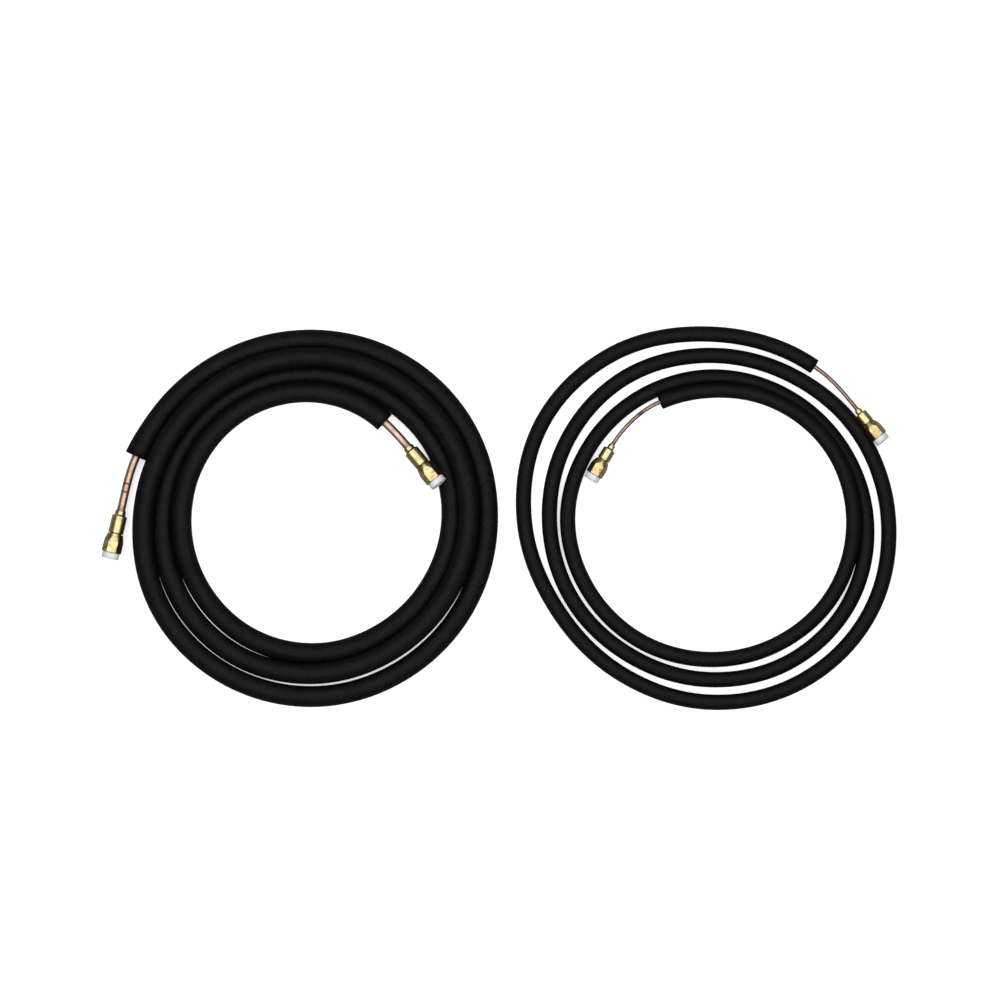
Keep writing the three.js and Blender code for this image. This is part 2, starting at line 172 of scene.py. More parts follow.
class LINESET_PG_suction(PropertyGroup):
    """Sizes of the suction line."""

    sleeve_diameter: length("Sleeve Diameter", "Outside of the foam sleeve", 32.6)
    sleeve_ease: length("Sleeve Ease", "How far the skin lies inside that size", 0.05)
    end_flare: length("End Flare", "How far the sleeve widens at its outer cut", 1.8)
    tube_diameter: length("Tube Diameter", "Outside of the copper tube", 12.7)
    tube_wall: length("Tube Wall", "Wall of the copper tube", 0.8)
    collar_diameter: length("Collar Diameter", "Outside of the coupling's brazing collar", 16.4)
    collar_length: length("Collar Length", "Length of the brazing collar", 7.5)
    body_diameter: length("Barrel Diameter", "Outside of the coupling's barrel", 23.3)
    body_length: length("Barrel Length", "Length of the coupling's barrel", 28)
    neck_diameter: length("Neck Diameter", "Outside of the neck inside the nut", 17.2)
    nut_flats: length("Nut Across Flats", "Width of the nut over two flats", 27)
    nut_length: length("Nut Length", "Length of the swivel nut", 29.3)
    nut_cone_length: length("Nut Cone Length", "Length of the cone at the nut's back", 14)
    cap_diameter: length("Cap Diameter", "Outside of the plastic cap's head", 27.2)
    cap_height: length("Cap Height", "How far the cap stands out of the nut", 9)


class LINESET_PG_liquid(PropertyGroup):
    """Sizes of the liquid line."""

    sleeve_diameter: length("Sleeve Diameter", "Outside of the foam sleeve", 24.4)
    sleeve_ease: length("Sleeve Ease", "How far the skin lies inside that size", 0.25)
    end_flare: length("End Flare", "How far the sleeve widens at its outer cut", 0)
    tube_diameter: length("Tube Diameter", "Outside of the copper tube", 6.35)
    tube_wall: length("Tube Wall", "Wall of the copper tube", 0.8)
    collar_diameter: length("Collar Diameter", "Outside of the coupling's brazing collar", 10.4)
    collar_length: length("Collar Length", "Length of the brazing collar", 7.6)
    body_diameter: length("Barrel Diameter", "Outside of the coupling's barrel", 19.4)
    body_length: length("Barrel Length", "Length of the coupling's barrel", 19.2)
    neck_diameter: length("Neck Diameter", "Outside of the neck inside the nut", 14)
    nut_flats: length("Nut Across Flats", "Width of the nut over two flats", 24.4)
    nut_length: length("Nut Length", "Length of the swivel nut", 26)
    nut_cone_length: length("Nut Cone Length", "Length of the cone at the nut's back", 11)
    cap_diameter: length("Cap Diameter", "Outside of the plastic cap's head", 24)
    cap_height: length("Cap Height", "How far the cap stands out of the nut", 8.8)


class LINESET_PG_fittings(PropertyGroup):
    """Sizes that all couplings share."""

    groove: length("Groove", "Gap between the barrel and the nut", 0.8)
    socket_depth: length("Socket Depth", "How far the tube goes into the collar", 6)
    flange_step: length("Flange Step", "How far the flange stands out of the neck", 1.4)
    flange_thickness: length("Flange Thickness", "Thickness of the flange", 3)
    nose_length: length("Nose Length", "Length of the sealing cone", 5)
    lip_thickness: length("Lip Thickness", "Thickness of the nut's back lip", 4)
    chamfer: length("Chamfer", "Bevel on the barrel's and the nut's rims", 1.2)
    plug_length: length("Plug Length", "How far the cap reaches into the nut", 9)
    thread_pitch: length("Thread Pitch", "Pitch of the thread inside the nut", 1.4)
    thread_depth: length("Thread Depth", "Depth of the thread inside the nut", 0.55)


class LINESET_PG_finishes(PropertyGroup):
    """Colours of the materials."""

    foam: colour("Foam", "Skin of the foam sleeve", (0.0007, 0.0007, 0.0009))
    foam_scuff: colour("Foam Scuff", "Rubbed places on the foam", (0.0048, 0.0048, 0.0052))
    foam_cut: colour("Foam Cut", "Cut face of the foam", (0.0080, 0.0080, 0.0085))
    dust: colour("Dust", "Fine dust that settles on top", (0.20, 0.20, 0.19))
    copper: colour("Copper", "Bright copper", (0.52, 0.37, 0.295))
    copper_tarnish: colour("Copper Tarnish", "Tarnished copper", (0.19, 0.105, 0.07))
    copper_heated: colour("Heated Copper", "Copper next to a brazed joint", (0.12, 0.05, 0.03))
    copper_amber: colour("Amber Copper", "Heat tint on the copper", (0.46, 0.30, 0.17))
    brass: colour("Brass", "Polished brass", (0.57, 0.485, 0.26))
    brass_dull: colour("Dull Brass", "Handled brass", (0.30, 0.205, 0.065))
    # Painted reflection: brown patches that stand for dark reflections on the brass, painted into
    # its colour
    brass_painted_reflection: colour("Painted_Reflection Brass", "Brown stains on the brass", (0.13, 0.075, 0.022))
    brass_rubbed: colour("Rubbed Brass", "Bright rubbed edges", (0.60, 0.52, 0.30))
    braze: colour("Braze", "Brazing alloy", (0.42, 0.36, 0.22))
    plastic: colour("Plastic", "White plastic of the caps", (0.68, 0.69, 0.71))
    plastic_grime: colour("Plastic Grime", "Rubbed and dusty plastic", (0.50, 0.50, 0.49))
    floor: colour("Floor", "Pale studio floor", (0.90, 0.90, 0.90))


class LINESET_PG_stage(PropertyGroup):
    """Sizes of the stage, and the strength of its lights."""

    view_width: FloatProperty(
        name="View Width", description="Width that the camera sees", default=1.53, unit="LENGTH"
    )
    view_x: FloatProperty(
        name="View X", description="Middle of the view, across", default=0.00154, unit="LENGTH"
    )
    view_y: FloatProperty(
        name="View Y", description="Middle of the view, along", default=0.0277, unit="LENGTH"
    )
    camera_height: FloatProperty(
        name="Camera Height", description="Height of the camera", default=12, unit="LENGTH"
    )
    left_power: FloatProperty(
        name="Left Power", description="Power of the soft light overhead on the left", default=98
    )
    right_power: FloatProperty(
        name="Right Power", description="Power of the soft light overhead on the right", default=80
    )
    sky_strength: FloatProperty(
        name="Sky Strength", description="Brightness of the surroundings", default=0.14
    )


# Routes of the coils


def hermite(w, here, there, leave, arrive):
    """The cubic that goes from here to there as w goes from 0 to 1, with those end slopes."""
    return (
        (2 * w**3 - 3 * w**2 + 1) * here
        + (w**3 - 2 * w**2 + w) * leave
        + (3 * w**2 - 2 * w**3) * there
        + (w**3 - w**2) * arrive
    )


def eased(values, place):
    """Values at places along evenly spaced knots: the cubic whose slope at each knot is half the
    difference of that knot's two neighbours, with the end knots repeated."""
    values = np.asarray(values, float)
    last = len(values) - 1
    place = np.clip(place, 0, last)
    left = np.minimum(np.floor(place).astype(int), last - 1)
    here, there = values[left], values[left + 1]
    before, beyond = values[np.maximum(left - 1, 0)], values[np.minimum(left + 2, last)]
    return hermite(place - left, here, there, (there - before) / 2, (beyond - here) / 2)


def coil_radius(line, sizes, angle):
    """Radius of a coil's centre line: the eye's radius, plus one sleeve diameter for each turn
    that is left to the eye, plus the slack at that angle."""
    coil = COILS[line]
    place = (angle - coil["first_angle"]) * coil["direction"] / SLACK_STEP
    turns = (coil["inner_cut"] - angle) * coil["direction"] / 360
    return coil["eye_radius"] + sizes.sleeve_diameter * turns + eased(coil["slack"], place) / 1000


def built_radius(line, sizes, angle):
    """Radius of a turn of straight steps between stations: where the ray at that angle meets the
    chord from the station before it to the station after it."""
    past = np.mod(angle, CAD_STATION_STEP)
    before = coil_radius(line, sizes, angle - past)
    after = coil_radius(line, sizes, angle - past + CAD_STATION_STEP)
    spread = before * np.sin(np.radians(past)) + after * np.sin(np.radians(CAD_STATION_STEP - past))
    return before * after * np.sin(np.radians(CAD_STATION_STEP)) / spread


def cad_stations(line):
    """The angles at which the model's sleeve has its stations, from the outer cut to the inner."""
    coil = COILS[line]
    step = CAD_STATION_STEP * coil["direction"]
    start = CAD_STATION_STEP * round(coil["outer_cut"] / CAD_STATION_STEP)
    whole = start + step * np.arange(400)
    to_outer = (whole - coil["outer_cut"]) * coil["direction"]
    to_inner = (coil["inner_cut"] - whole) * coil["direction"]
    keep = (to_outer > CAD_STATION_STEP / 4) & (to_inner > CAD_STATION_STEP / 4)
    return np.concatenate([[coil["outer_cut"]], whole[keep], [coil["inner_cut"]]])


def station_lift(line, sizes, angle):
    """Lift at the stations: in a raised stretch, the height at which a turn is one sleeve
    diameter away from the nearer of its two neighbours, and nothing elsewhere."""
    coil = COILS[line]
    way = coil["direction"]
    spacing = sizes.sleeve_diameter + TURN_GAP
    low, high = sorted((coil["outer_cut"], coil["inner_cut"]))
    lift = np.zeros(len(angle))
    for start, stop, held in coil["raised"]:
        inside = (angle * way >= start * way) & (angle * way <= stop * way)
        measured = np.where(angle * way > held * way, held, angle)
        here = coil_radius(line, sizes, measured)
        pitches = [
            np.where(
                (measured + turn >= low) & (measured + turn <= high),
                np.abs(built_radius(line, sizes, measured + turn) - here),
                np.inf,
            )
            for turn in (-360, 360)
        ]
        pitch = np.minimum(np.minimum(*pitches), spacing)
        lift = np.where(inside, np.sqrt(spacing**2 - pitch**2), lift)
    return lift


def monotone(x, knots, values):
    """Values at x along knots: the cubic that never overshoots, because its slope at each knot is
    the harmonic mean of the slopes beside it where these agree in sign, and zero elsewhere."""
    gaps = np.diff(knots)
    slopes = np.diff(values) / gaps
    product = slopes[:-1] * slopes[1:]
    total = slopes[:-1] + slopes[1:]
    middle = np.where(product > 0, 2 * product / np.where(total == 0, 1, total), 0)
    tangents = np.concatenate([[slopes[0]], middle, [slopes[-1]]])
    left = np.clip(np.searchsorted(knots, x, side="right") - 1, 0, len(gaps) - 1)
    gap = gaps[left]
    leave, arrive = gap * tangents[left], gap * tangents[left + 1]
    return hermite((x - knots[left]) / gap, values[left], values[left + 1], leave, arrive)


def coil_route(line, sizes):
    """Centre line of a coil, and the sleeve's flare along it. The centre line goes round at the
    coil's radius, at the height of a resting sleeve plus the lift. The flare fades from the
    outer cut to the next station."""
    coil = COILS[line]
    count = int(np.ceil(abs(coil["inner_cut"] - coil["outer_cut"]) / ROUTE_STEP)) + 1
    angle = np.linspace(coil["outer_cut"], coil["inner_cut"], count)
    way = coil["direction"]
    stations = cad_stations(line)
    lift = monotone(angle * way, stations * way, station_lift(line, sizes, stations))
    fade = (angle - stations[1]) / (stations[0] - stations[1])
    flare = sizes.end_flare * np.clip(fade, 0, 1)
    radius = coil_radius(line, sizes, angle)
    rest = (sizes.sleeve_diameter / 2 + flare) * np.cos(np.pi / CAD_SLEEVE_SIDES)
    turned = np.radians(angle)
    across = coil["centre"][0] + radius * np.cos(turned)
    along = coil["centre"][1] + radius * np.sin(turned)
    return np.column_stack([across, along, rest + lift]), flare


def unit(vectors):
    """Each vector divided by its length."""
    return vectors / np.linalg.norm(vectors, axis=-1, keepdims=True)


def distances(points):
    """How far along a route each of its points is."""
    return np.concatenate([[0], np.cumsum(np.linalg.norm(np.diff(points, axis=0), axis=1))])


def section_axes(points):
    """The direction of travel at each point of a route, and the level side and the up direction
    that stand square to it."""
    travel = unit(np.gradient(points, distances(points), axis=0))
    side = unit(np.cross(travel, (0, 0, 1)))
    return travel, side, np.cross(side, travel)


def fitting_places(sizes, shared):
    """Places along a fitting's axis, measured from the start of its collar."""
    at = {"body_start": sizes.collar_length}
    at["body_end"] = at["body_start"] + sizes.body_length
    at["nut_start"] = at["body_end"] + shared.groove
    at["flange_start"] = at["nut_start"] + shared.lip_thickness + CLEARANCE
    at["flange_end"] = at["flange_start"] + shared.flange_thickness
    at["nose_end"] = at["flange_end"] + shared.nose_length
    at["nut_end"] = at["nut_start"] + sizes.nut_length
    at["head_start"] = at["nut_end"] + CLEARANCE
    at["head_end"] = at["head_start"] + sizes.cap_height
    return at


def fitting_axes(line, end, sizes, shared):
    """Where a fitting's collar starts and which way the fitting points, from the model's mount on
    the cap's face, with the level side and the up direction square to it."""
    mount = MOUNTS[f"{line}_{end}_port"]
    axis = unit(np.array(mount["axis"], float))
    head_end = fitting_places(sizes, shared)["head_end"]
    start = np.array(mount["pos_m"], float) - axis * head_end
    side = unit(np.cross(axis, (0, 0, 1)))
    return start, axis, side, np.cross(side, axis)


def stub_route(start, leaving, stop, arriving, socket):
    """The bare tube from the sleeve's cut to the collar: a cubic curve that leaves and arrives
    along the given directions, with the distance as its slopes, and then a straight run to the
    bottom of the socket."""
    gap = np.linalg.norm(stop - start)
    t = np.linspace(0, 1, STUB_STEPS + 1)[1:, None]
    curve = hermite(t, start, stop, leaving * gap, arriving * gap)
    return np.vstack([curve, stop + arriving * socket])


# Surfaces


def softly_above(height, least, blend):
    """The larger of the two heights, with the crease between them rounded over the blend."""
    near = np.maximum(blend - np.abs(height - least), 0) / blend
    return np.maximum(height, least) + near**2 * blend / 4


def softly_below(value, most, blend):
    """The smaller of the two values, with the crease between them rounded over the blend."""
    near = np.maximum(blend - np.abs(value - most), 0) / blend
    return np.minimum(value, most) - near**2 * blend / 4


def rounded(corners, radii, steps=5, guard=0.0003, poles=None):
    """A profile with rounded corners. Each corner becomes a quadratic curve between two points
    at its radius before and after it, with one more point on each straight run beside it. The
    profile closes on itself, or runs between the two given poles on the axis."""
    corners = np.asarray(corners, float)
    radii = np.broadcast_to(np.asarray(radii, float), len(corners))
    previous = np.roll(corners, 1, axis=0)
    following = np.roll(corners, -1, axis=0)
    if poles is not None:
        previous[0], following[-1] = (0, poles[0]), (0, poles[1])
    back, ahead = previous - corners, following - corners
    back_length = np.linalg.norm(back, axis=1)
    ahead_length = np.linalg.norm(ahead, axis=1)
    reach = np.minimum(radii, 0.35 * np.minimum(back_length, ahead_length))[:, None]
    extra = np.minimum(guard, 0.1 * np.minimum(back_length, ahead_length))[:, None]
    back, ahead = back / back_length[:, None], ahead / ahead_length[:, None]
    start, stop = corners + back * reach, corners + ahead * reach
    t = np.linspace(0, 1, steps)[None, :, None]
    curve = (
        (1 - t) ** 2 * start[:, None]
        + 2 * t * (1 - t) * corners[:, None]
        + t**2 * stop[:, None]
    )
    first = (start + back * extra)[:, None]
    final = (stop + ahead * extra)[:, None]
    profile = np.concatenate([first, curve, final], axis=1).reshape(-1, 2)
    bend = np.concatenate([[0], np.sin(np.linspace(0, np.pi, steps)), [0]])
    return profile, np.tile(bend, len(corners))


def densified(profile, edge, step):
    """A closed profile with more points on its long runs, at most one step apart."""
    loop = np.vstack([profile, profile[:1]])
    at = distances(loop)
    places = np.union1d(at, np.linspace(0, at[-1], int(at[-1] / step) + 1))
    places = places[np.concatenate([[True], np.diff(places) > step * 0.05])][:-1]
    radius, along = np.interp(places, at, loop[:, 0]), np.interp(places, at, loop[:, 1])
    return np.column_stack([radius, along]), np.interp(places, at, np.append(edge, edge[0]))


def grid_object(name, grid, down, across, materials, rows_of=None, poles=None, values=None):
    """An object from a grid of points that closes on itself in both directions, or only in its
    columns, where the two poles close it. down and across are the UV coordinates of the grid's
    lines, rows_of is the material of each row of faces, and values are one number per point."""
    rows, columns = grid.shape[:2]
    face_rows = rows if poles is None else rows - 1
    i, j = np.meshgrid(np.arange(face_rows), np.arange(columns), indexing="ij")
    i, j = i.ravel(), j.ravel()
    below, beside = (i + 1) % rows, (j + 1) % columns
    quads = np.column_stack(
        [i * columns + j, below * columns + j, below * columns + beside, i * columns + beside]
    )
    down_at = down[np.column_stack([i, i + 1, i + 1, i])]
    across_at = across[np.column_stack([j, j, j + 1, j + 1])]
    uv = np.stack([down_at, across_at], axis=2).reshape(-1, 2)
    vertices = grid.reshape(-1, 3)
    faces = quads.tolist()
    slots = (np.zeros(face_rows, int) if rows_of is None else rows_of)[i]
    if poles is not None:
        k = np.arange(columns)
        beside = (k + 1) % columns
        count = len(vertices)
        first = np.column_stack([np.full(columns, count), k, beside])
        base = (rows - 1) * columns
        final = np.column_stack([base + k, np.full(columns, count + 1), base + beside])
        vertices = np.vstack([vertices, poles])
        faces += first.tolist() + final.tolist()
        left, right = across[k], across[k + 1]
        middle = (left + right) / 2
        for end, fan in ((down[0], [middle, left, right]), (down[-1], [left, middle, right])):
            fan_uv = np.stack([np.full((columns, 3), end), np.column_stack(fan)], axis=2)
            uv = np.vstack([uv, fan_uv.reshape(-1, 2)])
        slots = np.concatenate([slots, np.zeros(2 * columns, int)])
    mesh = bpy.data.meshes.new(name)
    mesh.from_pydata(vertices.tolist(), [], faces)
    mesh.uv_layers.new(name="surface").data.foreach_set("uv", uv.astype(np.float32).ravel())
    for material in materials:
        mesh.materials.append(material)
    mesh.polygons.foreach_set("material_index", slots.astype(np.int32))
    mesh.polygons.foreach_set("use_smooth", np.ones(len(faces), bool))
    for key, numbers in (values or {}).items():
        numbers = np.broadcast_to(numbers, (rows, columns)).ravel()
        if poles is not None:
            numbers = np.concatenate([numbers, [0, 0]])
        layer = mesh.attributes.new(key, "FLOAT", "POINT")
        layer.data.foreach_set("value", numbers.astype(np.float32))
    mesh.update(calc_edges=True)
    made = bpy.data.objects.new(name, mesh)
    bpy.context.scene.collection.objects.link(made)
    return made


def pipe_object(name, points, outer, bore, materials, sides, ring_rows=3, rest=None, values=None):
    """A pipe with its two end faces. At each point of the route the section is a circle in the
    plane square to it, from its lowest point round. The rows are the outer wall, the rings of one
    end face, the bore on the way back, and the rings of the other end face. outer is the radius of
    the outer wall, per point or per point and side. Where rest is given, the pipe is pressed flat
    on the floor, softened over that height."""
    travel, side, up = section_axes(points)
    outer = np.broadcast_to(outer.reshape(len(points), -1), (len(points), sides))
    turn = np.linspace(0, 2 * np.pi, sides, endpoint=False) - np.pi / 2
    share = np.linspace(0, 1, ring_rows + 2)[1:-1]
    count = len(points)
    forward, last = np.arange(count), count - 1
    order = np.concatenate(
        [forward, np.full(ring_rows, last), forward[::-1], np.zeros(ring_rows, int)]
    )
    inward = np.concatenate([np.zeros(count), share, np.ones(count), share[::-1]])
    radius = outer[order] * (1 - inward[:, None]) + bore * inward[:, None]
    grid = (
        points[order][:, None]
        + side[order][:, None] * (radius * np.cos(turn))[..., None]
        + up[order][:, None] * (radius * np.sin(turn))[..., None]
    )
    if rest:
        grid[..., 2] = softly_above(grid[..., 2], 0, rest)
    along = distances(points)
    thickness = float(outer.mean()) - bore
    down = along[order] + thickness * inward
    down = np.append(down, down[-1] - thickness / (ring_rows + 1))
    across = np.linspace(0, 2 * np.pi * float(outer.mean()), sides + 1)
    rows_of = np.concatenate(
        [np.zeros(count - 1), np.ones(ring_rows + 1), np.zeros(count - 1), np.ones(ring_rows + 1)]
    )
    kept = {key: numbers[order] for key, numbers in (values or {}).items()}
    return grid_object(
        name, grid, down, across, materials, rows_of.astype(int), values=kept
    )


def turned_object(name, axes, profile, edge, materials, segments, radius_of=None, poles=None):
    """A turned piece: each point of the profile (radius, place along the axis) is carried round
    the axis. radius_of may change the radii by angle and place, as for a hexagon or a thread."""
    start, axis, side, up = axes
    turn = np.linspace(0, 2 * np.pi, segments, endpoint=False)
    radius = np.repeat(profile[:, :1], segments, axis=1)
    along = np.repeat(profile[:, 1:], segments, axis=1)
    if radius_of is not None:
        radius = radius_of(radius, along, np.broadcast_to(turn, radius.shape))
    ray = up * np.cos(turn)[:, None] - side * np.sin(turn)[:, None]
    grid = start + axis * along[..., None] + ray * radius[..., None]
    down = distances(profile)
    if poles is None:
        down = np.append(down, down[-1] + np.linalg.norm(profile[0] - profile[-1]))
    across = np.linspace(0, 2 * np.pi * float(profile[:, 0].max()), segments + 1)
    ends = None if poles is None else np.stack([start + axis * place for place in poles])
    return grid_object(
        name, grid, down, across, materials, poles=ends, values={"edge": edge[:, None]}
    )


def finished(piece, body, nodes):
    """Attaches the piece to the body that it moves with and hides the model's nodes that it stands
    for.
    """
    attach(piece, body)
    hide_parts(*nodes)
    return piece


# Materials


class Recipe:
    """A node tree that is being filled: short calls to add its nodes and to link them."""

    def __init__(self, tree):
        self.tree = tree

    def feed(self, socket, value):
        """Gives a socket a number, a colour, or another socket to take its value from."""
        if isinstance(value, bpy.types.NodeSocket):
            self.tree.links.new(value, socket)
        elif socket.type == "RGBA":
            socket.default_value = (*value, 1)
        else:
            socket.default_value = value

    def add(self, kind, inputs=None, **settings):
        """Adds a node with the given settings and inputs."""
        node = self.tree.nodes.new(kind)
        for key, value in settings.items():
            setattr(node, key, value)
        for key, value in (inputs or {}).items():
            self.feed(node.inputs[key], value)
        return node

    def math(self, operation, first, second=0.0):
        """The result of a sum with two values."""
        return self.add("ShaderNodeMath", {0: first, 1: second}, operation=operation).outputs[0]

    def times(self, first, second):
        """The product of two values."""
        return self.math("MULTIPLY", first, second)

    def plus(self, first, second):
        """The total of two values."""
        return self.math("ADD", first, second)

    def spread(self, value, low, high, of=(0.0, 1.0)):
        """A value moved from one range to the range from low to high, and kept within it."""
        inputs = {0: value, 1: of[0], 2: of[1], 3: low, 4: high}
        return self.add("ShaderNodeMapRange", inputs).outputs[0]

    def blend(self, share, first, second):
        """A mix of two colours."""
        inputs = {0: share, 6: first, 7: second}
        return self.add("ShaderNodeMix", inputs, data_type="RGBA").outputs[2]

    def parts(self, vector):
        """The three numbers of a vector."""
        return self.add("ShaderNodeSeparateXYZ", {0: vector}).outputs

    def pair(self, first, second):
        """A vector from two numbers."""
        return self.add("ShaderNodeCombineXYZ", {0: first, 1: second}).outputs[0]

    def noise(self, vector, scale, detail, roughness=0.5):
        """Noise about 0.5."""
        inputs = {"Vector": vector, "Scale": scale, "Detail": detail, "Roughness": roughness}
        return self.add("ShaderNodeTexNoise", inputs).outputs["Fac"]


# Effects that materials share. Each fills a node group whose inputs it reads from source, and
# gives back the mask that the group puts out.


def mottle(recipe, source):
    """Soft blotches: noise, spread between 0 and 1 over the contrast on both sides of 0.5."""
    noise = recipe.noise(source["Vector"], source["Scale"], 3.0, 0.6)
    low = recipe.math("SUBTRACT", 0.5, source["Contrast"])
    high = recipe.plus(0.5, source["Contrast"])
    return recipe.spread(noise, 0.0, 1.0, (low, high))


def drawn_lines(recipe, source):
    """Fine lines along the first UV coordinate: noise that is stretched along it."""
    parts = recipe.parts(source["Vector"])
    along = recipe.times(parts[0], source["Along"])
    across = recipe.times(parts[1], source["Across"])
    noise = recipe.noise(recipe.pair(along, across), 1.0, 2.0)
    return recipe.spread(noise, 0.0, 1.0, (0.3, 0.7))


def edge_wear(recipe, source):
    """Rubbed edges: the edge value of the surface, broken up by noise."""
    broken = recipe.spread(recipe.noise(source["Vector"], 450.0, 4.0), 0.2, 1.0, (0.35, 0.65))
    return recipe.times(recipe.times(source["Edge"], broken), source["Amount"])


def settled_dust(recipe, source):
    """Dust on what faces up: the upward part of the surface's direction, broken up by noise."""
    facing = recipe.parts(recipe.add("ShaderNodeNewGeometry").outputs["Normal"])
    upward = recipe.spread(facing[2], 0.0, 1.0, (0.2, 1.0))
    noise = recipe.noise(source["Vector"], source["Scale"], 5.0, 0.7)
    specks = recipe.spread(noise, 0.0, 1.0, (0.45, 0.75))
    return recipe.times(recipe.times(upward, specks), source["Amount"])


EFFECTS = {
    "Mottle": (mottle, {"Scale": 100.0, "Contrast": 0.3}),
    "Drawn Lines": (drawn_lines, {"Along": 12.0, "Across": 1200.0}),
    "Edge Wear": (edge_wear, {"Edge": 0.0, "Amount": 0.5}),
    "Settled Dust": (settled_dust, {"Scale": 700.0, "Amount": 0.1}),
}


def shared_effect(name):
    """The node group of that effect, built at its first use."""
    if name in bpy.data.node_groups:
        return bpy.data.node_groups[name]
    fill, numbers = EFFECTS[name]
    group = bpy.data.node_groups.new(name, "ShaderNodeTree")
    group.interface.new_socket("Vector", in_out="INPUT", socket_type="NodeSocketVector")
    for label, default in numbers.items():
        socket = group.interface.new_socket(label, in_out="INPUT", socket_type="NodeSocketFloat")
        socket.default_value = default
    group.interface.new_socket("Mask", in_out="OUTPUT", socket_type="NodeSocketFloat")
    recipe = Recipe(group)
    mask = fill(recipe, recipe.add("NodeGroupInput").outputs)
    recipe.add("NodeGroupOutput", {"Mask": mask})
    return group


class Finish(Recipe):
    """A material that is being filled, with its shader and its own coordinates."""

    def __init__(self, name, metallic=0.0, specular=0.5):
        self.material = bpy.data.materials.new(name)
        self.material.use_nodes = True
        super().__init__(self.material.node_tree)
        self.tree.nodes.clear()
        constants = {"Metallic": metallic, "Specular IOR Level": specular, "IOR": 1.5}
        self.shader = self.add("ShaderNodeBsdfPrincipled", constants)
        self.add("ShaderNodeOutputMaterial", {"Surface": self.shader.outputs[0]})
        self.place = self.add("ShaderNodeTexCoord").outputs["Object"]

    def surface(self):
        """The UV coordinates, in metres along and across the surface."""
        return self.add("ShaderNodeUVMap", uv_map="surface").outputs[0]

    def attribute(self, name):
        """A number that each point of the mesh holds."""
        return self.add("ShaderNodeAttribute", attribute_name=name).outputs["Fac"]

    def effect(self, name, **inputs):
        """The mask of a shared effect placed with its own values, in the piece's own place
        unless another vector is given."""
        node = self.add("ShaderNodeGroup", node_tree=shared_effect(name))
        for key, value in {"vector": self.place, **inputs}.items():
            self.feed(node.inputs[key.title()], value)
        return node.outputs["Mask"]

    def complete(self, tone, roughness, height, distance, strength=1.0):
        """Feeds the shader's colour, roughness and bump, and gives back the material."""
        bump = {"Height": height, "Distance": distance, "Strength": strength}
        self.feed(self.shader.inputs["Base Color"], tone)
        self.feed(self.shader.inputs["Roughness"], roughness)
        self.feed(self.shader.inputs["Normal"], self.add("ShaderNodeBump", bump).outputs[0])
        return self.material


def foam_skin(finishes):
    """Matt skin of extruded closed-cell foam: pebbled, with faint lines along it, scuffs, small
    creases on the inner side of the bends, and a little dust."""
    foam = Finish("foam skin", specular=0.072)
    drift = foam.effect("Mottle", scale=24.0, contrast=0.2)
    blotches = foam.effect("Mottle", scale=130.0, contrast=0.16)
    cells = foam.effect("Mottle", scale=420.0, contrast=0.2)
    fine = foam.effect("Mottle", scale=1500.0, contrast=0.3)
    lines = foam.effect("Drawn Lines", vector=foam.surface(), along=9.0, across=420.0)
    creases = foam.effect("Drawn Lines", vector=foam.surface(), along=260.0, across=60.0)
    folded = foam.times(creases, foam.attribute("inner_side"))
    dust = foam.effect("Settled Dust", scale=620.0, amount=0.06)
    share = foam.times(foam.plus(blotches, cells), 0.5)
    share = foam.times(share, foam.spread(drift, 0.5, 1.0))
    tone = foam.blend(share, finishes.foam, finishes.foam_scuff)
    tone = foam.blend(dust, tone, finishes.dust)
    height = foam.times(cells, 0.55)
    for mask, depth in ((fine, 0.25), (lines, 0.30), (folded, 0.9), (blotches, 1.2)):
        height = foam.plus(height, foam.times(mask, depth))
    return foam.complete(tone, foam.spread(cells, 0.42, 0.54), height, 0.0003, 0.85)


def foam_cut(finishes):
    """Cut face of the foam: open cells, a little rougher and paler than the skin."""
    foam = Finish("foam cut", specular=0.05)
    cells = foam.add("ShaderNodeTexVoronoi", {"Vector": foam.place, "Scale": 1700.0}, feature="F1")
    blotches = foam.effect("Mottle", scale=260.0, contrast=0.25)
    walls = foam.spread(cells.outputs["Distance"], 0.0, 1.0, (0.15, 0.6))
    share = foam.times(walls, foam.spread(blotches, 0.4, 1.0))
    tone = foam.blend(share, finishes.foam, finishes.foam_cut)
    return foam.complete(tone, foam.spread(blotches, 0.75, 0.95), walls, 0.0003)


def copper_skin(finishes, rings, tints, tarnish):
    """Drawn copper: bright and slightly pink, with cloudy tarnish between two shares, fine lines
    along the tube, a heated zone beside each collar, and thin dark rings and amber tints, each
    with its distance from a collar and its width."""
    copper = Finish("copper", metallic=1.0)
    away = copper.attribute("from_collar")
    clouds = copper.effect("Mottle", scale=90.0, contrast=0.25)
    lines = copper.effect("Drawn Lines", vector=copper.surface(), along=14.0, across=1600.0)
    tone = copper.blend(copper.spread(clouds, *tarnish), finishes.copper, finishes.copper_tarnish)
    for tint, width in tints:
        off = copper.math("ABSOLUTE", copper.math("SUBTRACT", away, tint))
        tinted = copper.spread(off, 0.6, 0.0, (width / 4, width / 2))
        tone = copper.blend(tinted, tone, finishes.copper_amber)
    marked = copper.spread(copper.math("ABSOLUTE", away), 0.55, 0.0, (0.0, 0.010))
    for ring, width in rings:
        off = copper.math("ABSOLUTE", copper.math("SUBTRACT", away, ring))
        ringed = copper.spread(off, 0.85, 0.0, (width / 2, width))
        marked = copper.math("MAXIMUM", marked, ringed)
    tone = copper.blend(marked, tone, finishes.copper_heated)
    roughness = copper.plus(copper.spread(clouds, 0.34, 0.46), copper.times(marked, 0.2))
    return copper.complete(tone, roughness, lines, 0.00003)


